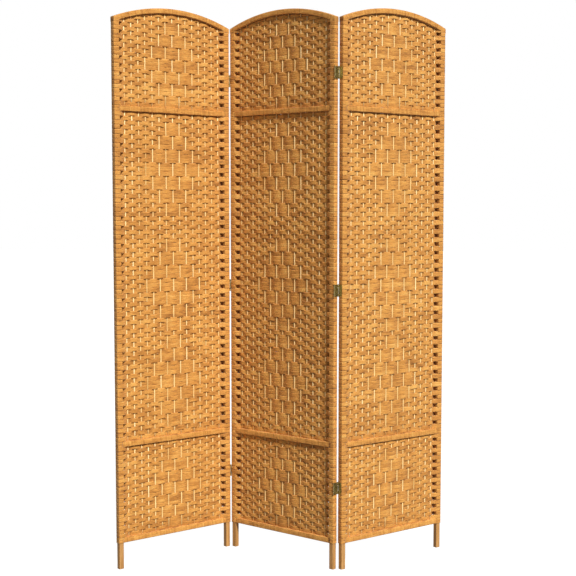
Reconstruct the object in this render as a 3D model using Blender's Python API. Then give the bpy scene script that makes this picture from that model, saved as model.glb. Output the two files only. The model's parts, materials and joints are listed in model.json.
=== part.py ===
"""Folding room divider: three arched panels of woven fibre on wooden frames, joined by two-way hinges.

Frame: +Z up, -Y is the front, +X to the right. The origin is on the floor, under the middle of the
screen as it stands in its zigzag. Each panel is built upright about its own centre line, with its
front at -Y, and each hinge is built straight, about the middle of the gap between two panels.
"""
import math

import bmesh
import bpy
from mathutils import Matrix, Vector

# --- driving dimensions, in metres ---
PANEL_WIDTH = 0.4445
PANEL_DEPTH = 0.019
TOTAL_HEIGHT = 1.784
ARCH_RISE = 0.042
PANEL_GAP = 0.003
CLEARANCE = 0.0003
OVERSHOOT = 0.002  # how far a cutter, or a piece to be joined, runs past a surface

# The fold of the zigzag, in degrees from a straight screen
MIDDLE_YAW = -40.3
LEFT_FOLD = 80.4
RIGHT_FOLD = 78.9

# Frame
STILE_WIDTH = 0.0166
STILE_DEPTH = 0.0156
STILE_BEVEL = 0.002
ARCH_RAIL_HEIGHT = 0.016
RAIL_HEIGHT = 0.0172
RAIL_DEPTH = 0.0176
RAIL_BEVEL = 0.002
UPPER_RAIL_UNDERSIDE = 1.4535
LOWER_RAIL_UNDERSIDE = 0.393
BOTTOM_RAIL_UNDERSIDE = 0.0836
TENON_LENGTH = 0.008
TENON_DEPTH = 0.009
TENON_HEIGHT = 0.012
TENON_ROOT = 0.01
GROOVE_WIDTH = 0.0086
GROOVE_DEPTH = 0.006
GROOVE_END = 0.004
ARC_STEPS = 16

# Woven fibre: a flat web on upright sticks, and a sleeve round each stile
WEB_DEPTH = 0.007
STICK_COUNT = 15
STICK_PITCH = 0.0258
STICK_WIDTH = 0.0046
STICK_DEPTH = 0.008
STICK_IN_GROOVE = 0.0055
SLEEVE_BEVEL = 0.002

# Hinges
HINGE_HEIGHTS = {"upper": 1.571, "middle": 0.893, "lower": 0.262}
HINGE_LENGTH = 0.038
AXIS_PROUD = 0.0002
LEAF_RECESS = 0.0008
LEAF_THICKNESS = 0.001
LEAF_WIDTH = 0.0144
LINK_THICKNESS = 0.0008
BARREL_RADIUS = 0.0021
BARREL_SIDES = 10
PIN_RADIUS = 0.0009
PIN_HEAD_RADIUS = 0.0018
PIN_HEAD_HEIGHT = 0.001
MIDDLE_KNUCKLE = 0.019
LINK_SETBACK = 0.0038
SCREW_SPACING = 0.0125
SCREW_HEAD_RADIUS = 0.0022
SCREW_HEAD_TAPER = 0.6
SCREW_HEAD_HEIGHT = 0.0002
SCREW_RADIUS = 0.001
SCREW_LENGTH = 0.011
SCREW_SIDES = 6

# --- worked out from them ---
SLEEVE_WALL = (PANEL_DEPTH - STILE_DEPTH) / 2
STILE_X = PANEL_WIDTH / 2 - SLEEVE_WALL - STILE_WIDTH / 2
RAIL_HALF = STILE_X - STILE_WIDTH / 2 - CLEARANCE
ARCH_RADIUS = ((PANEL_WIDTH / 2) ** 2 + ARCH_RISE**2) / (2 * ARCH_RISE)
ARCH_CENTRE = TOTAL_HEIGHT - ARCH_RADIUS
AXIS_OFFSET = PANEL_DEPTH / 2 + AXIS_PROUD
PANEL_STEP = PANEL_WIDTH + PANEL_GAP
HALF_HINGE = HINGE_LENGTH / 2
HINGE_ROOM = HALF_HINGE + PIN_HEAD_HEIGHT + 2 * CLEARANCE
RAILS = {
    "upper_cross_rail": UPPER_RAIL_UNDERSIDE,
    "lower_cross_rail": LOWER_RAIL_UNDERSIDE,
    "bottom_rail": BOTTOM_RAIL_UNDERSIDE,
}

for old in list(bpy.data.objects):
    bpy.data.objects.remove(old, do_unlink=True)
screen = bpy.data.collections.new("folding_room_divider")
cutters = bpy.data.collections.new("cutters")
for collection in (screen, cutters):
    bpy.context.scene.collection.children.link(collection)


# --- helpers ---
def material(name, colour, roughness, metallic=0.0):
    made = bpy.data.materials.new(name)
    made.use_nodes = True
    shader = made.node_tree.nodes["Principled BSDF"]
    shader.inputs["Base Color"].default_value = (*colour, 1)
    shader.inputs["Roughness"].default_value = roughness
    shader.inputs["Metallic"].default_value = metallic
    return made


def tool(name, mesh):
    """An object that is cut with, joined or finished, and never rendered."""
    made = bpy.data.objects.new(name, mesh)
    made.hide_render = True
    made.display_type = "WIRE"
    cutters.objects.link(made)
    return made


def evaluated_mesh(shape):
    depsgraph = bpy.context.evaluated_depsgraph_get()
    return bpy.data.meshes.new_from_object(shape.evaluated_get(depsgraph))


def boxes(name, corners, bevel=0.0, bevel_edges="Z"):
    """One mesh of boxes, each from its (low, high) corners, with rounded edges along one axis."""
    work = bmesh.new()
    for low, high in corners:
        low, high = Vector(low), Vector(high)
        size = Matrix.Diagonal((*(high - low), 1))
        bmesh.ops.create_cube(work, size=1, matrix=Matrix.Translation((low + high) / 2) @ size)
    if bevel:
        axis = "XYZ".index(bevel_edges)
        along = [
            edge
            for edge in work.edges
            if abs((edge.verts[0].co - edge.verts[1].co).normalized()[axis]) > 0.99
        ]
        bmesh.ops.bevel(work, geom=along, offset=bevel, segments=2, profile=0.5, affect="EDGES")
    mesh = bpy.data.meshes.new(name)
    work.to_mesh(mesh)
    work.free()
    return tool(name, mesh)


def rod(name, sides, places, turn=None, top_radius=None):
    """Upright rods, each from (x, y, z_low, z_high, radius), then turned about the origin if asked."""
    work = bmesh.new()
    for x, y, low, high, radius in places:
        bmesh.ops.create_cone(
            work,
            cap_ends=True,
            segments=sides,
            radius1=radius,
            radius2=radius if top_radius is None else top_radius,
            depth=high - low,
            matrix=Matrix.Translation((x, y, (low + high) / 2)),
        )
    mesh = bpy.data.meshes.new(name)
    work.to_mesh(mesh)
    work.free()
    if turn:
        mesh.transform(turn)
    return tool(name, mesh)


def upright_band(name, upper, lower, depth):
    """A closed band between two lines of (x, z) points of the same length, given its depth along Y."""
    work = bmesh.new()
    rings = [
        [work.verts.new((x, y, z)) for (x, z), y in zip((low, high, high, low), (-1, -1, 1, 1))]
        for low, high in zip(lower, upper)
    ]
    for first, second in zip(rings, rings[1:]):
        for i in range(4):
            j = (i + 1) % 4
            work.faces.new((first[i], second[i], second[j], first[j]))
    for end in (rings[0], rings[-1]):
        work.faces.new(end)
    bmesh.ops.recalc_face_normals(work, faces=work.faces)
    mesh = bpy.data.meshes.new(name)
    work.to_mesh(mesh)
    work.free()
    mesh.transform(Matrix.Diagonal((1, depth / 2, 1, 1)))
    return tool(name, mesh)


def boolean(target, operation, *operands):
    """Joins or cuts the target with each operand in turn, and uses the operands up."""
    for operand in operands:
        modifier = target.modifiers.new(operation.lower(), "BOOLEAN")
        modifier.operation = operation
        modifier.object = operand
        mesh = evaluated_mesh(target)
        target.modifiers.clear()
        target.data = mesh
        bpy.data.objects.remove(operand)
    return target


def finished(shape, name, colour):
    """The tool's mesh, named, coloured and shaded smooth, ready to be shared by its copies."""
    mesh = shape.data
    mesh.name = name
    mesh.materials.clear()
    mesh.materials.append(colour)
    mesh.shade_smooth()
    mesh.set_sharp_from_angle(angle=math.radians(35))
    bpy.data.objects.remove(shape)
    return mesh


def place(name, mesh, parent, location=(0, 0, 0)):
    made = bpy.data.objects.new(name, mesh)
    made.parent = parent
    made.location = location
    screen.objects.link(made)
    return made


def pivot(name, parent, location, turn=0.0):
    made = bpy.data.objects.new(name, None)
    made.empty_display_size = 0.05
    made.parent = parent
    made.location = location
    made.rotation_euler.z = math.radians(turn)
    screen.objects.link(made)
    return made


# --- the arch ---
def arc(radius, half_width):
    """Points (x, z) from left to right on the arch's circle of this radius."""
    reach = math.asin(half_width / radius)
    angles = [reach * (2 * step / ARC_STEPS - 1) for step in range(ARC_STEPS + 1)]
    return [(radius * math.sin(a), ARCH_CENTRE + radius * math.cos(a)) for a in angles]


def above_arch(name, radius):
    """A cutter that takes everything above the arch's circle of this radius."""
    lower = arc(radius, PANEL_WIDTH / 2 + PANEL_DEPTH)
    upper = [(x, TOTAL_HEIGHT + PANEL_DEPTH) for x, _ in lower]
    return upright_band(name, upper, lower, 2 * PANEL_DEPTH)


ARCH_UNDERSIDE = ARCH_RADIUS - ARCH_RAIL_HEIGHT


def arch_underside_at(x):
    return ARCH_CENTRE + math.sqrt(ARCH_UNDERSIDE**2 - x * x)


# --- frame pieces ---
def screw_holes(side):
    """Holes in the outer face of a stile and its sleeve, for the screws of its three hinges."""
    sideways = Matrix.Rotation(math.pi / 2, 4, "Y")
    radius = SCREW_RADIUS + CLEARANCE
    start = PANEL_WIDTH / 2 - LEAF_RECESS - SCREW_LENGTH - CLEARANCE
    for level, height in HINGE_HEIGHTS.items():
        for offset in (-SCREW_SPACING, 0, SCREW_SPACING):
            place_and_size = [(0, 0, start, PANEL_WIDTH / 2 + OVERSHOOT, radius)]
            hole = rod(f"hole_{level}", SCREW_SIDES, place_and_size, sideways)
            hole.data.transform(Matrix.Translation((0, 0, height + offset)))
            if side < 0:
                hole.data.transform(Matrix.Rotation(math.pi, 4, "Z"))
            yield hole


def hinge_pocket(side, height):
    """Room for one hinge at a panel's edge: a shallow recess for the leaf, and a hollow for each barrel."""
    edge = PANEL_WIDTH / 2
    floor, mouth = sorted((side * (edge - LEAF_RECESS), side * (edge + PANEL_GAP)))
    low, high = height - HINGE_ROOM, height + HINGE_ROOM
    pocket = boxes("pocket", [((floor, -PANEL_DEPTH, low), (mouth, PANEL_DEPTH, high))])
    axis = side * (edge + PANEL_GAP / 2)
    radius = BARREL_RADIUS + 2 * CLEARANCE
    hollows = [(axis, y, low, high, radius) for y in (-AXIS_OFFSET, AXIS_OFFSET)]
    return boolean(pocket, "UNION", rod("hollows", BARREL_SIDES, hollows))


def stile(side, hinged):
    """A stile with its leg: mortises for three rails, a tenon for the arch, holes for hinge screws."""
    x = side * STILE_X
    half_width, half_depth = STILE_WIDTH / 2, STILE_DEPTH / 2
    body = boxes(
        "stile",
        [((x - half_width, -half_depth, 0), (x + half_width, half_depth, TOTAL_HEIGHT))],
        STILE_BEVEL,
    )
    boolean(body, "DIFFERENCE", above_arch("arch_space", ARCH_UNDERSIDE - CLEARANCE))
    shoulder = arch_underside_at(STILE_X)
    half_tenon = TENON_DEPTH / 2
    low = (x - half_tenon, -half_tenon, shoulder - TENON_ROOT)
    high = (x + half_tenon, half_tenon, shoulder + TENON_LENGTH)
    boolean(body, "UNION", boxes("stile_tenon", [(low, high)]))
    inner = side * (STILE_X - half_width)
    room = TENON_LENGTH + CLEARANCE
    for underside in RAILS.values():
        middle = underside + RAIL_HEIGHT / 2
        ends = sorted((inner - side * OVERSHOOT, inner + side * room))
        half_height = TENON_HEIGHT / 2 + CLEARANCE
        low = (ends[0], -half_tenon - CLEARANCE, middle - half_height)
        high = (ends[1], half_tenon + CLEARANCE, middle + half_height)
        boolean(body, "DIFFERENCE", boxes("mortise", [(low, high)]))
    if hinged:
        boolean(body, "DIFFERENCE", *screw_holes(side))
    return body


def arched_top_rail():
    """The arch over both stiles, grooved below for the stick ends and mortised for the stile tenons."""
    half = PANEL_WIDTH / 2
    body = upright_band("arch", arc(ARCH_RADIUS, half), arc(ARCH_UNDERSIDE, half), PANEL_DEPTH)
    reach = RAIL_HALF - GROOVE_END
    roof, mouth = ARCH_UNDERSIDE + GROOVE_DEPTH, ARCH_UNDERSIDE - GROOVE_DEPTH
    boolean(body, "DIFFERENCE", upright_band("groove", arc(roof, reach), arc(mouth, reach), GROOVE_WIDTH))
    half_room = TENON_DEPTH / 2 + CLEARANCE
    shoulder = arch_underside_at(STILE_X)
    for side in (-1, 1):
        x = side * STILE_X
        low = (x - half_room, -half_room, shoulder - TENON_ROOT)
        high = (x + half_room, half_room, shoulder + TENON_LENGTH + CLEARANCE)
        boolean(body, "DIFFERENCE", boxes("arch_mortise", [(low, high)]))
    return body


def straight_rail(underside, grooved_below):
    """A rail between the stiles, tenoned at both ends and grooved for the stick ends."""
    low = (-RAIL_HALF, -RAIL_DEPTH / 2, underside)
    high = (RAIL_HALF, RAIL_DEPTH / 2, underside + RAIL_HEIGHT)
    body = boxes("rail", [(low, high)], RAIL_BEVEL, "X")
    middle = underside + RAIL_HEIGHT / 2
    reach = RAIL_HALF + TENON_LENGTH
    low = (-reach, -TENON_DEPTH / 2, middle - TENON_HEIGHT / 2)
    high = (reach, TENON_DEPTH / 2, middle + TENON_HEIGHT / 2)
    boolean(body, "UNION", boxes("rail_tenons", [(low, high)]))
    top = underside + RAIL_HEIGHT
    grooves = [(top - GROOVE_DEPTH, top + OVERSHOOT)]
    if grooved_below:
        grooves.append((underside - OVERSHOOT, underside + GROOVE_DEPTH))
    for floor, roof in grooves:
        low = (GROOVE_END - RAIL_HALF, -GROOVE_WIDTH / 2, floor)
        high = (RAIL_HALF - GROOVE_END, GROOVE_WIDTH / 2, roof)
        boolean(body, "DIFFERENCE", boxes("groove", [(low, high)]))
    return body


# --- woven pieces ---
def woven_section(bottom, top, sleeve_holes):
    """The woven web with its sticks and the sleeves that the strands make round both stiles.

    top is the height where the section ends, or None where it ends under the arch.
    """
    roof = TOTAL_HEIGHT if top is None else top
    stick_roof = TOTAL_HEIGHT if top is None else top + STICK_IN_GROOVE
    web = boxes("web", [((-STILE_X, -WEB_DEPTH / 2, bottom), (STILE_X, WEB_DEPTH / 2, roof))])
    half_sleeve = STILE_WIDTH / 2 + SLEEVE_WALL
    half_stile = STILE_WIDTH / 2 + CLEARANCE
    sleeves, tunnels = [], []
    for side in (-1, 1):
        x = side * STILE_X
        sleeves.append(
            ((x - half_sleeve, -PANEL_DEPTH / 2, bottom), (x + half_sleeve, PANEL_DEPTH / 2, roof))
        )
        deep = STILE_DEPTH / 2 + CLEARANCE
        low = (x - half_stile, -deep, bottom - OVERSHOOT)
        tunnels.append((low, (x + half_stile, deep, roof + OVERSHOOT)))
    boolean(web, "UNION", boxes("sleeves", sleeves, SLEEVE_BEVEL))
    boolean(web, "DIFFERENCE", boxes("tunnels", tunnels))
    sticks = boxes(
        "sticks",
        [
            (
                (x - STICK_WIDTH / 2, -STICK_DEPTH / 2, bottom - STICK_IN_GROOVE),
                (x + STICK_WIDTH / 2, STICK_DEPTH / 2, stick_roof),
            )
            for x in [STICK_PITCH * (i - (STICK_COUNT - 1) / 2) for i in range(STICK_COUNT)]
        ],
    )
    if top is None:
        boolean(web, "DIFFERENCE", above_arch("arch_space", ARCH_UNDERSIDE - CLEARANCE))
        boolean(sticks, "DIFFERENCE", above_arch("groove_space", ARCH_UNDERSIDE + STICK_IN_GROOVE))
    boolean(web, "UNION", sticks)
    for side in sleeve_holes:
        centres = [h for h in HINGE_HEIGHTS.values() if bottom < h < roof]
        boolean(web, "DIFFERENCE", *[hinge_pocket(side, h) for h in centres])
        for hole in screw_holes(side):
            height = sum(v.co.z for v in hole.data.vertices) / len(hole.data.vertices)
            if any(abs(height - centre) < HINGE_LENGTH / 2 for centre in centres):
                boolean(web, "DIFFERENCE", hole)
            else:
                bpy.data.objects.remove(hole)
    return web


# --- hinge pieces: straight, centred on the gap, x across it ---
KNUCKLE = MIDDLE_KNUCKLE / 2
LEAF_FACE = PANEL_GAP / 2 + LEAF_RECESS - CLEARANCE


def pin_bore(y):
    radius = PIN_RADIUS + CLEARANCE
    return rod("pin_bore", BARREL_SIDES, [(0, y, -HINGE_LENGTH, HINGE_LENGTH, radius)])


def left_leaf():
    """The leaf on the panel to the left: a screwed plate with a knuckle at each end of the front pin."""
    outer, inner = -LEAF_FACE, -LEAF_FACE + LEAF_THICKNESS
    edge = LEAF_WIDTH / 2
    body = boxes("leaf", [((outer, -edge, -HALF_HINGE), (inner, edge, HALF_HINGE))])
    for low, high in ((-HALF_HINGE, -KNUCKLE), (KNUCKLE, HALF_HINGE)):
        strip = boxes("strip", [((outer, -AXIS_OFFSET, low), (inner, -edge + OVERSHOOT, high))])
        barrel = rod("knuckle", BARREL_SIDES, [(0, -AXIS_OFFSET, low, high, BARREL_RADIUS)])
        boolean(body, "UNION", strip, barrel)
    boolean(body, "DIFFERENCE", pin_bore(-AXIS_OFFSET))
    sideways = Matrix.Rotation(math.pi / 2, 4, "Y")
    tip = outer - SCREW_LENGTH + CLEARANCE
    for offset in (-SCREW_SPACING, 0, SCREW_SPACING):
        shank = rod("shank", SCREW_SIDES, [(0, 0, tip, inner, SCREW_RADIUS)], sideways)
        head = rod(
            "head",
            SCREW_SIDES,
            [(0, 0, inner - LEAF_THICKNESS / 2, inner + SCREW_HEAD_HEIGHT, SCREW_HEAD_RADIUS)],
            sideways,
            SCREW_HEAD_RADIUS * SCREW_HEAD_TAPER,
        )
        for piece in (shank, head):
            piece.data.transform(Matrix.Translation((0, 0, offset)))
        boolean(body, "UNION", shank, head)
    return body


def hinge_link():
    """The middle plate of the hinge, with one knuckle on the front pin and one on the back pin."""
    half = LINK_THICKNESS / 2
    setback = AXIS_OFFSET - LINK_SETBACK
    knuckle = KNUCKLE - CLEARANCE
    body = boxes("link", [((-half, -setback, -HALF_HINGE), (half, setback, HALF_HINGE))])
    web = boxes("link_web", [((-half, -AXIS_OFFSET, -knuckle), (half, AXIS_OFFSET, knuckle))])
    boolean(body, "UNION", web)
    for y in (-AXIS_OFFSET, AXIS_OFFSET):
        barrel = rod("knuckle", BARREL_SIDES, [(0, y, -knuckle, knuckle, BARREL_RADIUS)])
        boolean(body, "UNION", barrel)
        boolean(body, "DIFFERENCE", pin_bore(y))
    return body


def hinge_pin():
    low, high = -HALF_HINGE - CLEARANCE, HALF_HINGE + CLEARANCE
    body = rod("pin", BARREL_SIDES, [(0, 0, low, high + PIN_HEAD_HEIGHT / 2, PIN_RADIUS)])
    head = rod("pin_head", BARREL_SIDES, [(0, 0, high, high + PIN_HEAD_HEIGHT, PIN_HEAD_RADIUS)])
    boolean(body, "UNION", head)
    return body


# --- the screen ---
WOOD = material("honey_wood", (0.62, 0.34, 0.13), 0.5)
FIBRE = material("woven_fibre", (0.60, 0.34, 0.13), 0.8)
WRAP = material("wrapped_rail", (0.56, 0.31, 0.11), 0.75)
BRASS = material("aged_brass", (0.42, 0.32, 0.12), 0.35, 1.0)

origin = pivot("screen_origin", None, (0, 0, 0), MIDDLE_YAW)
half_step = PANEL_STEP / 2
left_back = pivot("left_back_axis", origin, (-half_step, AXIS_OFFSET, 0))
left_front = pivot("left_front_axis", left_back, (0, -2 * AXIS_OFFSET, 0), LEFT_FOLD)
right_front = pivot("right_front_axis", origin, (half_step, -AXIS_OFFSET, 0))
right_back = pivot("right_back_axis", right_front, (0, 2 * AXIS_OFFSET, 0), RIGHT_FOLD)

# Each panel: its parent, where its centre lies from that parent, and which of its stiles are hinged
PANELS = {
    "left_panel": (left_front, (-half_step, AXIS_OFFSET, 0), (1,)),
    "middle_panel": (origin, (0, 0, 0), (-1, 1)),
    "right_panel": (right_back, (half_step, -AXIS_OFFSET, 0), (-1,)),
}
SECTIONS = {
    "top_weave": (UPPER_RAIL_UNDERSIDE + RAIL_HEIGHT + CLEARANCE, None),
    "middle_weave": (LOWER_RAIL_UNDERSIDE + RAIL_HEIGHT + CLEARANCE, UPPER_RAIL_UNDERSIDE - CLEARANCE),
    "bottom_weave": (BOTTOM_RAIL_UNDERSIDE + RAIL_HEIGHT + CLEARANCE, LOWER_RAIL_UNDERSIDE - CLEARANCE),
}

arch_mesh = finished(arched_top_rail(), "arched_top_rail", WRAP)
rail_meshes = {
    rail: finished(straight_rail(underside, rail != "bottom_rail"), rail, WRAP)
    for rail, underside in RAILS.items()
}
stile_meshes = {
    (side, hinged): finished(stile(side, hinged), "stile", WOOD)
    for side in (-1, 1)
    for hinged in (False, True)
}
for panel, (parent, centre, hinged_sides) in PANELS.items():
    for side, word in ((-1, "left"), (1, "right")):
        place(f"{panel}_{word}_stile", stile_meshes[side, side in hinged_sides], parent, centre)
    place(f"{panel}_arched_top_rail", arch_mesh, parent, centre)
    for rail, mesh in rail_meshes.items():
        place(f"{panel}_{rail}", mesh, parent, centre)
    for section, (bottom, top) in SECTIONS.items():
        mesh = finished(woven_section(bottom, top, hinged_sides), section, FIBRE)
        place(f"{panel}_{section}", mesh, parent, centre)

leaf_mesh = finished(left_leaf(), "hinge_leaf", BRASS)
link_mesh = finished(hinge_link(), "hinge_link", BRASS)
pin_mesh = finished(hinge_pin(), "hinge_pin", BRASS)
for joint, front, back, left_holder, right_holder in (
    ("left", left_front, left_back, left_front, origin),
    ("right", right_front, right_back, origin, right_back),
):
    # The middle of the gap, seen from the frame of each thing that a hinge piece is fixed to
    middle = {
        left_front: (0, AXIS_OFFSET),
        left_back: (0, -AXIS_OFFSET),
        right_front: (0, AXIS_OFFSET),
        right_back: (0, -AXIS_OFFSET),
        origin: (half_step if joint == "right" else -half_step, 0),
    }
    link_holder = left_back if joint == "left" else right_front
    for level, height in HINGE_HEIGHTS.items():
        name = f"{joint}_{level}_hinge"
        place(f"{name}_left_leaf", leaf_mesh, left_holder, (*middle[left_holder], height))
        right = place(f"{name}_right_leaf", leaf_mesh, right_holder, (*middle[right_holder], height))
        right.rotation_euler.z = math.pi
        x, y = middle[link_holder]
        place(f"{name}_link", link_mesh, link_holder, (x, y, height))
        place(f"{name}_front_pin", pin_mesh, link_holder, (x, y - AXIS_OFFSET, height))
        place(f"{name}_back_pin", pin_mesh, link_holder, (x, y + AXIS_OFFSET, height))


def centre_on_floor():
    """Moves the whole screen so that the origin is under the middle of its bounding box."""
    bpy.context.view_layer.update()
    corners = [
        piece.matrix_world @ vertex.co
        for piece in screen.objects
        if piece.type == "MESH"
        for vertex in piece.data.vertices
    ]
    for axis in (0, 1):
        reach = [corner[axis] for corner in corners]
        origin.location[axis] -= (min(reach) + max(reach)) / 2
    bpy.context.view_layer.update()


centre_on_floor()
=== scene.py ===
"""Looks of the folding room divider: woven strands, wrapped rails, sticks, bare legs and brass hinges.

Every strand, stick and wrapped rail is built in its own panel's frame: x along the panel, y through it
with the front at -y, and z up. The panel's place comes from the record's six feet.
"""
import json
import math

import bpy
import numpy as np
from mathutils import Matrix, Vector


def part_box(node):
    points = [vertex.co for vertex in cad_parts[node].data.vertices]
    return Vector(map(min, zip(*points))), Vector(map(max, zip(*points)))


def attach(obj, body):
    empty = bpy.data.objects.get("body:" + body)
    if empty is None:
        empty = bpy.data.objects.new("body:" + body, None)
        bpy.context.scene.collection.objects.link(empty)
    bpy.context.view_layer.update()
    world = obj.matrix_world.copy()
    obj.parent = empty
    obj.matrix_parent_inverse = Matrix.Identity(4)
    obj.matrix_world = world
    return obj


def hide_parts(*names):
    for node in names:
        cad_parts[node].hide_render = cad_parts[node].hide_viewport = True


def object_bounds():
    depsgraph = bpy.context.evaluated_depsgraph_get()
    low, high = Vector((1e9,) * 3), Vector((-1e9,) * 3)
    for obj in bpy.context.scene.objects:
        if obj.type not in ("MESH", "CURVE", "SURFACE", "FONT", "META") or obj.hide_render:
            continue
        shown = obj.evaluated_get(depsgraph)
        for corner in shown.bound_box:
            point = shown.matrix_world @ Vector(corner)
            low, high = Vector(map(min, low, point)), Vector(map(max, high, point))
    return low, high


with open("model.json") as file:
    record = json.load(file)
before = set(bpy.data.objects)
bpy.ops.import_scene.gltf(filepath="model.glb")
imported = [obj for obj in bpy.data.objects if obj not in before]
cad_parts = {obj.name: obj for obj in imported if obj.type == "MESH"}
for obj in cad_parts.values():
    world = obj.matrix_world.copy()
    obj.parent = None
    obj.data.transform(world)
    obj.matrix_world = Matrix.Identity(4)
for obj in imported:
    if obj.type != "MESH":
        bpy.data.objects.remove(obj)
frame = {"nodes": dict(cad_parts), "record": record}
CAD_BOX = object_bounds()
RANDOM = np.random.default_rng(11)

# --- the panel, in metres, as in the CAD model ---
PANEL_HALF = 0.22225
PANEL_DEPTH = 0.019
TOP = 1.784
ARCH_RISE = 0.042
ARCH_RAIL = 0.016
STILE_X = 0.21225
RAIL_END = 0.2035
RAIL_DEPTH = 0.0176
RAILS = ("upper_cross_rail", "lower_cross_rail", "bottom_rail")
PANELS = ("left_panel", "middle_panel", "right_panel")

# --- the weave ---
STICKS = 15
STICK_PITCH = 0.0258
STICK_WIDTH = 0.0042
STICK_DEPTH = 0.0016
STICK_SIDES = 10
STICK_SQUARENESS = 0.7
STICK_ENDS = 0.004
STICK_STEP = 0.04
CROSSING = 0.0016
STRAND_DEPTH = 0.0016
WRAP_DEPTH = 0.0016
TOP_PITCH = 0.01286
BANDS = {"top_weave": 24, "middle_weave": 73, "bottom_weave": 23}
FIRST_BANDS = {"top_weave": [0], "middle_weave": [2, 28, 50], "bottom_weave": [2]}  # of each diamond
DIAMOND_REACHES = (1, 2, 3, 4, 3, 2, 1)
BANDS_PER_BLOCK = 3
STEPS_PER_STICK = 5
HOLD = 0.2  # share of the way between two sticks where a band stays on its side of each

# The height of a band as a share of its pitch, by where it runs
FRONT_HEIGHT = 0.985
BLOCK_HEIGHT = 1.09
CROSSING_HEIGHT = 1.34
BEHIND_HEIGHT = 1.42
APPROACH_HEIGHT = 1.26
TURN_HEIGHT = 1.02
BLOCK_MARGIN = 0.7  # how far a diamond's taller bands run past its last stick, in stick pitches
ROOF_OVERLAP = 0.003  # how far a band may run up into the rail above it
LEAST_HEIGHT = 0.002  # what is left of a band under a rail is dropped below this height

# How much the bands and sticks vary, as the spread of their random draws
HEIGHT_WAVER = 0.03
MIDDLE_WAVER = 0.0004
DEPTH_WAVER = 0.05
BAND_TONE = 0.35
CORD_TONE = 0.5
PATCH_TONE = 0.8
TURN_TONE = 0.6
WRAP_TONE = 0.8
STICK_SHIFT = 0.0003
STICK_DRIFT = 0.0002
STICK_SPREAD = 0.06
STICK_WAVER = 0.03

# How much shade is painted on the fibre in the grooves between cords, behind a stick and round a stile, and
# how dark the painted shadow under a rail is
GROOVE_PAINTED_SHADE = 0.38
TURNED_GROOVE_PAINTED_SHADE = 0.22
RECESS_PAINTED_SHADE = 0.25
TURN_PAINTED_SHADE = 0.13
RAIL_PAINTED_SHADOW = 1.3
RAIL_SHADOW_HEIGHT = 0.0032  # of the painted shadow line under a rail
RAIL_SHADOW_FADE = 0.001  # the height over which it comes in

# --- turns round the stiles, and wrapped rails ---
WRAP_HALF_WIDTH = 0.0092
WRAP_HALF_DEPTH = 0.0087
WRAP_CORNER = 0.0010
CORD_PITCH = 0.0037
RAIL_CORNER = 0.0022
WRAP_SLANT = 0.12
TURNS_BESIDE_RAIL = 2
ARCH_STEPS = 64
# At each step of one turn of the cord: how far it stands out, and how much shade is painted on it, most in
# the groove between turns
WRAP_SWELL = np.array([-0.0003, -0.0001, 0.0, -0.0001])
WRAP_PAINTED_SHADE = np.array([0.65, 0.18, 0.05, 0.18])
STEPS_PER_TURN = len(WRAP_SWELL)

ARCH_RADIUS = (PANEL_HALF**2 + ARCH_RISE**2) / (2 * ARCH_RISE)
ARCH_CENTRE = TOP - ARCH_RADIUS
ARCH_UNDERSIDE = ARCH_RADIUS - ARCH_RAIL

# Across a strand: three round cords side by side, as (share of the height, share of the depth)
CORDS = [(-1 / 3, 1.0), (-1 / 6, 0.45), (0.0, 1.0), (1 / 6, 0.45), (1 / 3, 1.0)]
PROFILE_UP = np.array([-0.5] + [u for u, _ in CORDS] + [0.5] + [u for u, _ in CORDS[::-1]])
PROFILE_OUT = np.array([0.0] + [d for _, d in CORDS] + [0.0] + [-d for _, d in CORDS])
# Painted shade across a strand: none on the cords' crests, all of it in the grooves between them and at the
# strand's edges
PROFILE_PAINTED_SHADE = np.clip((1 - abs(PROFILE_OUT)) / (1 - abs(PROFILE_OUT[2])), 0, 1)
CORD_OF_POINT = [0, 0, 1, 1, 1, 2, 2, 2, 1, 1, 1, 0]


def arch_underside_at(x):
    return ARCH_CENTRE + math.sqrt(ARCH_UNDERSIDE**2 - x * x)


def panel_place(panel):
    feet = {mount["name"]: Vector(mount["pos_m"]) for mount in frame["record"]["mounts"]}
    left, right = feet[f"{panel}_left_foot"], feet[f"{panel}_right_foot"]
    along = right - left
    return Matrix.Translation((left + right) / 2) @ Matrix.Rotation(math.atan2(along.y, along.x), 4, "Z")


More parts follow.
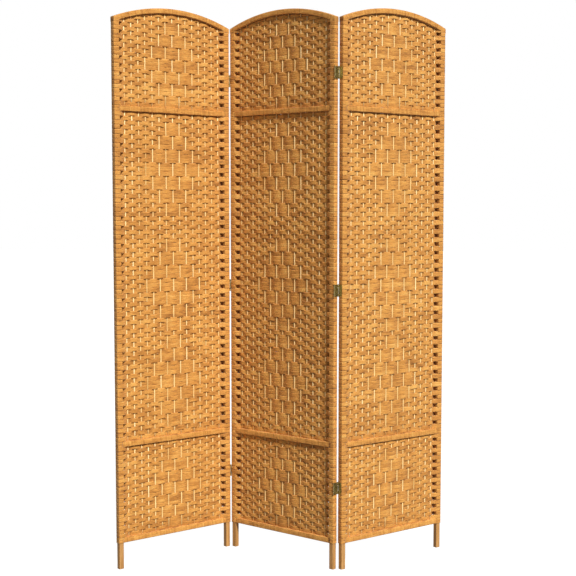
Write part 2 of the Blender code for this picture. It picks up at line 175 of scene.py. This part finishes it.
# --- mesh building ---
class Tubes:
    """Gathers closed tubes, each a row of rings of points, into one mesh with a tone and a painted shade for
    each point.
    """

    def __init__(self):
        self.points, self.loops, self.sizes, self.tones, self.painted_shades = [], [], [], [], []
        self.count = 0

    def add(self, rings, tone, painted_shade):
        steps, sides, _ = rings.shape
        first = self.count
        ids = first + np.arange(steps * sides).reshape(steps, sides)
        here, there = ids[:-1], ids[1:]
        quads = np.stack([here, np.roll(here, -1, 1), np.roll(there, -1, 1), there], -1)
        self.loops += [quads.reshape(-1), ids[0][::-1], ids[-1]]
        self.sizes += [np.full((steps - 1) * sides, 4), [sides], [sides]]
        self.points.append(rings.reshape(-1, 3))
        self.tones.append(np.broadcast_to(tone, (steps, sides)).reshape(-1))
        self.painted_shades.append(np.broadcast_to(painted_shade, (steps, sides)).reshape(-1))
        self.count += steps * sides

    def piece(self, name, panel, material, replaced=()):
        mesh = bpy.data.meshes.new(name)
        points = np.concatenate(self.points).astype(np.float32)
        loops = np.concatenate(self.loops).astype(np.int32)
        sizes = np.concatenate(self.sizes).astype(np.int32)
        mesh.vertices.add(len(points))
        mesh.vertices.foreach_set("co", points.ravel())
        mesh.loops.add(len(loops))
        mesh.loops.foreach_set("vertex_index", loops)
        mesh.polygons.add(len(sizes))
        mesh.polygons.foreach_set("loop_start", np.concatenate([[0], np.cumsum(sizes)[:-1]]).astype(np.int32))
        mesh.update(calc_edges=True)
        mesh.validate()
        # Each point's second value is painted shade, kept as an attribute for the fibre material
        for label, values in (("tone", self.tones), ("painted_shade", self.painted_shades)):
            attribute = mesh.attributes.new(label, "FLOAT", "POINT")
            attribute.data.foreach_set("value", np.concatenate(values).astype(np.float32))
        mesh.shade_smooth()
        mesh.materials.append(material)
        made = bpy.data.objects.new(name, mesh)
        bpy.context.scene.collection.objects.link(made)
        made.matrix_world = panel_place(panel)
        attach(made, panel)
        if replaced:
            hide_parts(*replaced)


def smooth_noise(count, spacing, size):
    """A wavering line of count values, with a new random value every spacing of them."""
    knots = RANDOM.normal(0, size, count // spacing + 3)
    return np.interp(np.arange(count) / spacing, np.arange(len(knots)), knots)


def strand_rings(path, heights, middle, depths):
    """Rings of a flat strand of three cords that follows a line of (x, y) points."""
    ahead = np.gradient(path, axis=0)
    ahead /= np.linalg.norm(ahead, axis=1)[:, None]
    out = np.stack([ahead[:, 1], -ahead[:, 0]], 1)
    reach = PROFILE_OUT[None, :] * depths[:, None] / 2
    x = path[:, 0, None] + out[:, 0, None] * reach
    y = path[:, 1, None] + out[:, 1, None] * reach
    z = middle[:, None] + PROFILE_UP[None, :] * heights[:, None]
    return np.stack([x, y, z], -1)


def stile_turn(side, face):
    """The line of a strand's turn round a stile, from its inner corner on the given face, and all round."""
    a, c, r = WRAP_HALF_WIDTH, WRAP_HALF_DEPTH, WRAP_CORNER
    k = r * (1 - math.sqrt(0.5))
    points = [
        (-a + r, c), (0, c), (a - r, c), (a - k, c - k), (a, c - r), (a, 0), (a, r - c), (a - k, k - c),
        (a - r, -c), (0, -c), (r - a, -c), (k - a, k - c), (-a, r - c), (-a, 0), (-a, c - r),
    ]
    return np.array([(side * (STILE_X + x), face * y) for x, y in points])


def diamond_reach(diamond_row):
    """How many sticks a diamond covers on each side of the middle stick, in this row of its bands."""
    return -1 if diamond_row is None else DIAMOND_REACHES[diamond_row // BANDS_PER_BLOCK]


def hidden_sticks(band, diamond_row):
    """For each stick, True where this band passes in front of it."""
    columns = np.arange(STICKS)
    in_front = (columns + band) % 2 == 1
    if diamond_row is not None and diamond_row % BANDS_PER_BLOCK == 1:
        inside = abs(columns - STICKS // 2) <= diamond_reach(diamond_row)
        in_front = np.where(inside, ~in_front, in_front)
    return in_front


def eased(share):
    return share * share * (3 - 2 * share)


def weave_line(in_front):
    """The (x, y) line of a band between its first and last stick."""
    sides = np.where(in_front, -CROSSING, CROSSING)
    steps = np.arange((STICKS - 1) * STEPS_PER_STICK + 1) / STEPS_PER_STICK
    nearest = np.minimum(steps.astype(int), STICKS - 2)
    share = eased(np.clip((steps - nearest - HOLD) / (1 - 2 * HOLD), 0, 1))
    y = sides[nearest] * (1 - share) + sides[nearest + 1] * share
    return np.stack([(steps - (STICKS - 1) / 2) * STICK_PITCH, y], 1)


def approach(start, end):
    """Points on a smooth way from the weave's last stick to the stile's face."""
    points = []
    for share in (0.3, 0.55, 0.8):
        y = start[1] + (end[1] - start[1]) * eased(share)
        points.append((start[0] + (end[0] - start[0]) * share, y))
    return np.array(points)


def add_band(tubes, middle, pitch, band, diamond_row, ceiling):
    """One band of a woven section, with its turn round each stile that reaches its height.

    ceiling gives the height of the wood above the section at any x; just below it a shadow is painted on the
    fibre.
    """
    in_front = hidden_sticks(band, diamond_row)
    line = weave_line(in_front)
    depths = np.full(len(line), STRAND_DEPTH)
    turned = np.zeros(len(line))
    widened = np.zeros(len(line))
    if middle - pitch / 2 < arch_underside_at(STILE_X):
        face = 1 if in_front[0] else -1
        left, right = stile_turn(-1, face), stile_turn(1, face)
        to_left, to_right = approach(line[0], left[0]), approach(line[-1], right[0])
        line = np.concatenate([left[::-1], to_left[::-1], line, to_right, right])
        wrap, ends = np.full(len(left), WRAP_DEPTH), np.ones(len(left))
        ramp = np.linspace(STRAND_DEPTH, WRAP_DEPTH, len(to_left))
        depths = np.concatenate([wrap, ramp[::-1], depths, ramp, wrap])
        turned = np.concatenate([ends, 0 * ramp, turned, 0 * ramp, ends])
        widened = np.concatenate([0 * ends, 0 * ramp + 1, widened, 0 * ramp + 1, 0 * ends])
    count = len(line)
    behind = np.clip(0.5 + line[:, 1] / (2 * CROSSING), 0, 1)
    spread = np.interp(behind, (0, 0.5, 1), (FRONT_HEIGHT, CROSSING_HEIGHT, BEHIND_HEIGHT))
    in_block = abs(line[:, 0]) < (diamond_reach(diamond_row) + BLOCK_MARGIN) * STICK_PITCH
    spread = np.where(in_block, np.maximum(spread, BLOCK_HEIGHT), spread)
    spread = np.where(turned > 0, TURN_HEIGHT, np.where(widened > 0, APPROACH_HEIGHT, spread))
    heights = pitch * spread * (1 + smooth_noise(count, 4, HEIGHT_WAVER))
    middles = middle + smooth_noise(count, 6, MIDDLE_WAVER) * (1 - turned)
    above = np.array([ceiling(x) for x in line[:, 0]])
    roofs, floors = np.minimum(middles + heights / 2, above + ROOF_OVERLAP), middles - heights / 2
    keep = roofs - floors > LEAST_HEIGHT
    if keep.sum() < 3:
        return
    thinning = 1 + np.clip(smooth_noise(count, 2, DEPTH_WAVER), -2 * DEPTH_WAVER, 0)
    rings = strand_rings(line, roofs - floors, (roofs + floors) / 2, depths * thinning)
    cords = RANDOM.normal(0, CORD_TONE, 3)[CORD_OF_POINT]
    tone = RANDOM.normal(0, BAND_TONE) + cords[None, :] + smooth_noise(count, 7, PATCH_TONE)[:, None]
    # Painted shade on the face of a band tucked into the weave: its front where it runs behind a stick, its
    # back where it runs in front; half on its edges, none on a turn round a stile
    recessed = np.where(PROFILE_OUT[None, :] > 0, behind[:, None], 1 - behind[:, None])
    recessed = np.where(PROFILE_OUT[None, :] == 0, 0.5, recessed) * (1 - turned[:, None])
    # Painted shade in the grooves between cords, less where the band turns round a stile
    groove_shade = np.where(turned > 0, TURNED_GROOVE_PAINTED_SHADE, GROOVE_PAINTED_SHADE)[:, None]
    # Painted shade over every turn round a stile, added to that of the grooves and the recesses
    painted_shade = PROFILE_PAINTED_SHADE[None, :] * groove_shade + recessed * RECESS_PAINTED_SHADE + TURN_PAINTED_SHADE * turned[:, None]
    # A painted shadow along the top of the band, just under the rail or arch above it
    below = rings[:, :, 2] - above[:, None]
    shade = np.clip((below + RAIL_SHADOW_HEIGHT) / RAIL_SHADOW_FADE, 0, 1) * (1 - turned[:, None])
    tubes.add(rings[keep], tone[keep], np.maximum(painted_shade, RAIL_PAINTED_SHADOW * shade)[keep])


def add_stile_cords(tubes, low, high):
    """Turns round both stiles beside a rail, with no weave between them."""
    pitch = (high - low) / TURNS_BESIDE_RAIL
    # Painted shade in the cords' grooves and over the whole turn round the stile
    painted_shade = PROFILE_PAINTED_SHADE[None, :] * TURNED_GROOVE_PAINTED_SHADE + TURN_PAINTED_SHADE
    for side in (-1, 1):
        for row in range(TURNS_BESIDE_RAIL):
            line = stile_turn(side, -1)
            line = np.concatenate([line, line[:1]])
            if side < 0:
                line = line[::-1]
            count = len(line)
            heights = np.full(count, pitch * TURN_HEIGHT)
            middles = np.full(count, low + (row + 0.5) * pitch)
            rings = strand_rings(line, heights, middles, np.full(count, WRAP_DEPTH))
            tubes.add(rings, RANDOM.normal(0, TURN_TONE), painted_shade)


def woven(panel, section, low, high, downwards, ceiling, material):
    """A woven section. Its bands are counted down from its upper rail, or up from its lower one."""
    tubes = Tubes()
    pitch = (high - low) / BANDS[section]
    diamond_bands = len(DIAMOND_REACHES) * BANDS_PER_BLOCK
    for band in range(BANDS[section]):
        middle = high - (band + 0.5) * pitch if downwards else low + (band + 0.5) * pitch
        rows = [band - first for first in FIRST_BANDS[section] if 0 <= band - first < diamond_bands]
        add_band(tubes, middle, pitch, band, rows[0] if rows else None, ceiling)
    tubes.piece(f"{panel}_{section}_strands", panel, material, [f"{panel}_{section}"])


def sticks(panel, section, low, high, material):
    """The upright sticks of a woven section, flat splints with softly rounded edges."""
    tubes = Tubes()
    turns = np.linspace(0, 2 * math.pi, STICK_SIDES, endpoint=False)
    across = np.sign(np.cos(turns)) * abs(np.cos(turns)) ** STICK_SQUARENESS * STICK_WIDTH / 2
    through = np.sign(np.sin(turns)) * abs(np.sin(turns)) ** STICK_SQUARENESS * STICK_DEPTH / 2
    for column in range(STICKS):
        x = (column - (STICKS - 1) / 2) * STICK_PITCH
        roof = min(high, arch_underside_at(x)) + STICK_ENDS
        z = np.linspace(low - STICK_ENDS, roof, max(6, int((roof - low) / STICK_STEP)))
        drift = x + RANDOM.normal(0, STICK_SHIFT) + smooth_noise(len(z), 3, STICK_DRIFT)
        width = 1 + RANDOM.normal(0, STICK_SPREAD) + smooth_noise(len(z), 2, STICK_WAVER)
        rings = np.stack(
            [
                drift[:, None] + across[None, :] * width[:, None],
                np.broadcast_to(through, (len(z), len(turns))),
                np.broadcast_to(z[:, None], (len(z), len(turns))),
            ],
            -1,
        )
        tubes.add(rings, RANDOM.normal(0, 1), 0.0)
    tubes.piece(f"{panel}_{section}_sticks", panel, material)


def rounded_ring(half_out, half_deep, corner):
    """A rounded rectangle of 16 points, as (out, deep) pairs, with the way each point faces."""
    points, ways = [], []
    for sign_out, sign_deep, start in ((1, 1, 0), (-1, 1, 90), (-1, -1, 180), (1, -1, 270)):
        for turn in (0, 30, 60, 90):
            way = (math.cos(math.radians(start + turn)), math.sin(math.radians(start + turn)))
            centre = (sign_out * (half_out - corner), sign_deep * (half_deep - corner))
            points.append((centre[0] + corner * way[0], centre[1] + corner * way[1]))
            ways.append(way)
    return np.array(points), np.array(ways)


def wrapped(tubes, spine, outward, half_out, half_deep, corner):
    """A rail wrapped in cord: a rounded bar along a spine of (x, z) points, ribbed by the cord's turns."""
    ring, ways = rounded_ring(half_out, half_deep, corner)
    lengths = np.concatenate([[0], np.cumsum(np.linalg.norm(np.diff(spine, axis=0), axis=1))])
    turns = int(lengths[-1] / CORD_PITCH)
    steps = np.arange(turns * STEPS_PER_TURN + 1)
    along = steps / steps[-1] * lengths[-1]
    x, z = np.interp(along, lengths, spine[:, 0]), np.interp(along, lengths, spine[:, 1])
    ox, oz = np.interp(along, lengths, outward[:, 0]), np.interp(along, lengths, outward[:, 1])
    swell = WRAP_SWELL[steps % STEPS_PER_TURN]
    reach = ring[None, :, :] + ways[None, :, :] * swell[:, None, None]
    rings = np.stack(
        [
            x[:, None] + (ox[:, None] - WRAP_SLANT * oz[:, None]) * reach[:, :, 0],
            reach[:, :, 1],
            z[:, None] + (oz[:, None] + WRAP_SLANT * ox[:, None]) * reach[:, :, 0],
        ],
        -1,
    )
    rings[:, :, 0] = np.clip(rings[:, :, 0], -PANEL_HALF, PANEL_HALF)
    # Painted shade in the groove between the cord's turns, lighter on their crests
    painted_shade = WRAP_PAINTED_SHADE[steps % STEPS_PER_TURN][:, None]
    tone = np.repeat(RANDOM.normal(0, WRAP_TONE, turns + 1), STEPS_PER_TURN)[: len(steps), None]
    tubes.add(rings, tone, painted_shade)


def rail_piece(panel, rail, low, high, material):
    tubes = Tubes()
    middle = (low + high) / 2
    spine = np.array([(-RAIL_END, middle), (RAIL_END, middle)])
    outward = np.array([(0, 1), (0, 1)])
    wrapped(tubes, spine, outward, (high - low) / 2, RAIL_DEPTH / 2, RAIL_CORNER)
    tubes.piece(f"{panel}_{rail}_wrap", panel, material, [f"{panel}_{rail}"])


def arch_piece(panel, material):
    tubes = Tubes()
    reach = math.asin(PANEL_HALF / ARCH_UNDERSIDE)
    angles = np.linspace(-reach, reach, ARCH_STEPS + 1)
    outward = np.stack([np.sin(angles), np.cos(angles)], 1)
    spine = outward * (ARCH_RADIUS - ARCH_RAIL / 2) + np.array([0, ARCH_CENTRE])
    wrapped(tubes, spine, outward, ARCH_RAIL / 2, PANEL_DEPTH / 2, RAIL_CORNER)
    name = f"{panel}_arched_top_rail"
    tubes.piece(f"{name}_wrap", panel, material, [name])


# --- materials ---
class Nodes:
    """A short way to write a material's nodes."""

    def __init__(self, name):
        self.material = bpy.data.materials.new(name)
        self.material.use_nodes = True
        self.tree = self.material.node_tree
        self.shader = self.tree.nodes["Principled BSDF"]

    def link(self, source, target):
        self.tree.links.new(source, target)

    def add(self, kind, **inputs):
        node = self.tree.nodes.new(kind)
        for name, value in inputs.items():
            socket = node.inputs[int(name[1:])] if name[0] == "_" else node.inputs[name]
            if isinstance(value, bpy.types.NodeSocket):
                self.link(value, socket)
            else:
                socket.default_value = value
        return node

    def math(self, operation, first, second=0.0):
        node = self.add("ShaderNodeMath", _0=first, _1=second)
        node.operation = operation
        return node.outputs[0]

    def stretched(self, scale):
        place = self.add("ShaderNodeTexCoord").outputs["Object"]
        node = self.add("ShaderNodeMapping", Vector=place, Scale=scale)
        return node.outputs[0]

    def noise(self, scale, detail=3.0, roughness=0.55, distortion=0.0):
        node = self.add("ShaderNodeTexNoise", Vector=self.stretched(scale), Scale=1.0, Detail=detail)
        node.inputs["Roughness"].default_value = roughness
        node.inputs["Distortion"].default_value = distortion
        return node.outputs[0]

    def value(self, label):
        node = self.tree.nodes.new("ShaderNodeAttribute")
        node.attribute_name = label
        return node.outputs["Fac"]

    def ramp(self, value, *stops):
        node = self.add("ShaderNodeValToRGB", Fac=value)
        ramp = node.color_ramp
        while len(ramp.elements) < len(stops):
            ramp.elements.new(0.5)
        for element, (place, colour) in zip(ramp.elements, stops):
            element.position = place
            element.color = (*colour, 1)
        return node.outputs[0]

    def mix(self, share, first, second, blend="MIX"):
        node = self.tree.nodes.new("ShaderNodeMix")
        node.data_type = "RGBA"
        node.blend_type = blend
        for socket, value in ((node.inputs[0], share), (node.inputs[6], first), (node.inputs[7], second)):
            if isinstance(value, bpy.types.NodeSocket):
                self.link(value, socket)
            else:
                socket.default_value = (*value, 1) if isinstance(value, tuple) else value
        return node.outputs[2]

    def bump(self, height, strength, distance, normal=None):
        node = self.add("ShaderNodeBump", Height=height, Strength=strength, Distance=distance)
        if normal is not None:
            self.link(normal, node.inputs["Normal"])
        return node.outputs[0]

    def finish(self, colour, roughness, normal, metallic=0.0, specular=0.5, sheen=0.0):
        self.link(colour, self.shader.inputs["Base Color"])
        self.link(roughness, self.shader.inputs["Roughness"])
        self.link(normal, self.shader.inputs["Normal"])
        self.shader.inputs["Metallic"].default_value = metallic
        self.shader.inputs["Specular IOR Level"].default_value = specular
        self.shader.inputs["Sheen Weight"].default_value = sheen
        return self.material


def fibre(name):
    """Twisted plant fibre, with its streaks along the panel."""
    n = Nodes(name)
    streaks = n.noise((28, 90, 170), 4.0, 0.6, 0.4)
    fibres = n.noise((55, 500, 900), 3.0, 0.65)
    tone = n.math("MULTIPLY", n.value("tone"), 0.06)
    level = n.math("ADD", n.math("MULTIPLY", streaks, 0.62), n.math("MULTIPLY", fibres, 0.38))
    level = n.math("ADD", level, tone)
    colour = n.ramp(
        level,
        (0.26, (0.38, 0.145, 0.022)),
        (0.42, (0.68, 0.285, 0.048)),
        (0.54, (0.88, 0.405, 0.078)),
        (0.68, (1.00, 0.540, 0.130)),
    )
    patches = n.ramp(n.noise((22, 22, 26), 2.0), (0.3, (0.86, 0.83, 0.78)), (0.65, (1.0, 1.0, 1.0)))
    colour = n.mix(1.0, colour, patches, "MULTIPLY")
    place = n.stretched((1, 1, 1))
    twist = n.add("ShaderNodeTexWave", Vector=place, Scale=170.0, Distortion=3.0, Detail=2.0)
    twist.bands_direction = "DIAGONAL"
    # Painted shade: darker in the grooves of each cord's twist and by each point's painted shade value, mixed
    # towards a deep shade brown
    twist_groove_shade = n.math("MULTIPLY", n.math("POWER", n.math("SUBTRACT", 1.0, twist.outputs[1]), 3.0), 0.35)
    painted_shade_share = n.math("ADD", n.math("MULTIPLY", n.value("painted_shade"), 0.6), twist_groove_shade)
    colour = n.mix(painted_shade_share, colour, (0.20, 0.072, 0.012))
    rough = n.math("ADD", n.math("MULTIPLY", fibres, 0.25), 0.55)
    normal = n.bump(fibres, 0.5, 0.0006, n.bump(twist.outputs[1], 0.5, 0.0008))
    return n.finish(colour, rough, normal, specular=0.35, sheen=0.15)


def splint(name):
    """Pale split wood of the sticks."""
    n = Nodes(name)
    grain = n.noise((500, 500, 14), 3.0, 0.6)
    level = n.math("ADD", grain, n.math("MULTIPLY", n.value("tone"), 0.05))
    colour = n.ramp(level, (0.3, (0.72, 0.42, 0.13)), (0.5, (0.95, 0.64, 0.26)), (0.7, (1.0, 0.78, 0.40)))
    rough = n.math("ADD", n.math("MULTIPLY", grain, 0.2), 0.4)
    return n.finish(colour, rough, n.bump(grain, 0.3, 0.0004))


def wood(name):
    """Honey-stained softwood of the stiles and legs."""
    n = Nodes(name)
    grain = n.noise((160, 160, 5), 4.0, 0.6, 1.2)
    pores = n.noise((900, 900, 30), 2.0, 0.6)
    level = n.math("ADD", n.math("MULTIPLY", grain, 0.75), n.math("MULTIPLY", pores, 0.25))
    colour = n.ramp(
        level,
        (0.30, (0.27, 0.115, 0.026)),
        (0.47, (0.44, 0.210, 0.058)),
        (0.56, (0.56, 0.290, 0.092)),
        (0.70, (0.68, 0.380, 0.140)),
    )
    rough = n.math("ADD", n.math("MULTIPLY", pores, 0.2), 0.32)
    return n.finish(colour, rough, n.bump(level, 0.25, 0.0005))


def brass(name):
    """Dull olive-gold plating with darker tarnish."""
    n = Nodes(name)
    tarnish = n.noise((260, 260, 260), 4.0, 0.65)
    marks = n.noise((900, 900, 80), 2.0, 0.6)
    colour = n.ramp(
        tarnish,
        (0.38, (0.16, 0.11, 0.03)),
        (0.52, (0.62, 0.50, 0.21)),
        (0.66, (0.92, 0.82, 0.46)),
    )
    rough = n.math("ADD", n.math("MULTIPLY", marks, 0.3), 0.22)
    return n.finish(colour, rough, n.bump(marks, 0.15, 0.0002), metallic=1.0)


# --- the object ---
STRANDS = fibre("woven_plant_fibre")
WRAP = fibre("wrapped_plant_fibre")
SPLINT = splint("pale_splint")
WOOD = wood("honey_wood_grain")
BRASS = brass("tarnished_brass")

for node_name, node in frame["nodes"].items():
    if node_name.endswith("_stile") or "_hinge_" in node_name:
        node.data.materials.clear()
        node.data.materials.append(WOOD if node_name.endswith("_stile") else BRASS)

for panel in PANELS:
    spans = {}
    for rail in RAILS:
        low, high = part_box(f"{panel}_{rail}")
        spans[rail] = (low.z, high.z)
        rail_piece(panel, rail, low.z, high.z, WRAP)
    arch_piece(panel, WRAP)
    upper, lower, bottom = (spans[rail] for rail in RAILS)
    roof = upper[1] + BANDS["top_weave"] * TOP_PITCH
    woven(panel, "top_weave", upper[1], roof, False, arch_underside_at, STRANDS)
    woven(panel, "middle_weave", lower[1], upper[0], True, lambda x: upper[0], STRANDS)
    woven(panel, "bottom_weave", bottom[1], lower[0], True, lambda x: lower[0], STRANDS)
    sticks(panel, "top_weave", upper[1], TOP, SPLINT)
    sticks(panel, "middle_weave", lower[1], upper[0], SPLINT)
    sticks(panel, "bottom_weave", bottom[1], lower[0], SPLINT)
    collars = Tubes()
    for low, high in (upper, lower, bottom):
        add_stile_cords(collars, low, high)
    collars.piece(f"{panel}_stile_collars", panel, STRANDS)

# --- stage ---
FLOOR_HALF = 30
FLOOR_DROP = 0.0005
FLOOR_GLOW, FLOOR_GLOW_SEEN = 0.15, 0.93
SKY_GLOW, SKY_GLOW_SEEN = 0.22, 1.0
scene = bpy.context.scene
scene.view_settings.view_transform = "Standard"

floor_mesh = bpy.data.meshes.new("floor")
corners = [(-FLOOR_HALF, -FLOOR_HALF, 0), (FLOOR_HALF, -FLOOR_HALF, 0)]
corners += [(FLOOR_HALF, FLOOR_HALF, 0), (-FLOOR_HALF, FLOOR_HALF, 0)]
floor_mesh.from_pydata(corners, [], [(0, 1, 2, 3)])
floor = bpy.data.objects.new("floor", floor_mesh)
floor.location.z = CAD_BOX[0].z - FLOOR_DROP
scene.collection.objects.link(floor)
pale = bpy.data.materials.new("pale_floor")
pale.use_nodes = True
pale_shader = pale.node_tree.nodes["Principled BSDF"]
pale_shader.inputs["Base Color"].default_value = (0.14, 0.14, 0.14, 1)
pale_shader.inputs["Roughness"].default_value = 0.9
pale_shader.inputs["Specular IOR Level"].default_value = 0.1
pale_shader.inputs["Emission Color"].default_value = (1, 1, 1, 1)
pale_rays = pale.node_tree.nodes.new("ShaderNodeLightPath")
pale_glow = pale.node_tree.nodes.new("ShaderNodeMapRange")
pale_glow.inputs["To Min"].default_value = FLOOR_GLOW
pale_glow.inputs["To Max"].default_value = FLOOR_GLOW_SEEN
pale.node_tree.links.new(pale_rays.outputs["Is Camera Ray"], pale_glow.inputs["Value"])
pale.node_tree.links.new(pale_glow.outputs[0], pale_shader.inputs["Emission Strength"])
floor_mesh.materials.append(pale)

world = bpy.data.worlds.new("studio")
world.use_nodes = True
scene.world = world
sky = world.node_tree.nodes["Background"]
rays = world.node_tree.nodes.new("ShaderNodeLightPath")
strength = world.node_tree.nodes.new("ShaderNodeMapRange")
strength.inputs["To Min"].default_value = SKY_GLOW
strength.inputs["To Max"].default_value = SKY_GLOW_SEEN
world.node_tree.links.new(rays.outputs["Is Camera Ray"], strength.inputs["Value"])
world.node_tree.links.new(strength.outputs[0], sky.inputs["Strength"])
sky.inputs["Color"].default_value = (1, 1, 1, 1)


def sun(name, azimuth, elevation, energy, softness):
    """A distant soft light. Azimuth 0 shines from the front, and 90 from the right."""
    lamp = bpy.data.lights.new(name, "SUN")
    lamp.energy = energy
    lamp.angle = math.radians(softness)
    made = bpy.data.objects.new(name, lamp)
    a, e = math.radians(azimuth), math.radians(elevation)
    towards = Vector((math.sin(a) * math.cos(e), -math.cos(a) * math.cos(e), math.sin(e)))
    made.rotation_mode = "QUATERNION"
    made.rotation_quaternion = towards.to_track_quat("Z", "Y")
    scene.collection.objects.link(made)


sun("key", 32, 40, 4.2, 14)
sun("back_fill", 190, 35, 1.3, 40)

CAMERA_PLACE = (0.0473, -4.1046, 1.1532)
CAMERA_PITCH = 4.724
CAMERA_ROLL = 0.045
FOCAL_LENGTH = 78.96
SENSOR_WIDTH = 36
SHIFT_RIGHT, SHIFT_UP = -0.625, 1.5  # of the lens, in millimetres like the two above
lens = bpy.data.cameras.new("camera")
lens.lens = FOCAL_LENGTH
lens.sensor_width = SENSOR_WIDTH
lens.shift_x = SHIFT_RIGHT / SENSOR_WIDTH
lens.shift_y = SHIFT_UP / SENSOR_WIDTH
lens.clip_end = 100
camera = bpy.data.objects.new("camera", lens)
camera.matrix_world = (
    Matrix.Translation(CAMERA_PLACE)
    @ Matrix.Rotation(math.radians(90 - CAMERA_PITCH), 4, "X")
    @ Matrix.Rotation(math.radians(CAMERA_ROLL), 4, "Z")
)
scene.collection.objects.link(camera)
scene.camera = camera
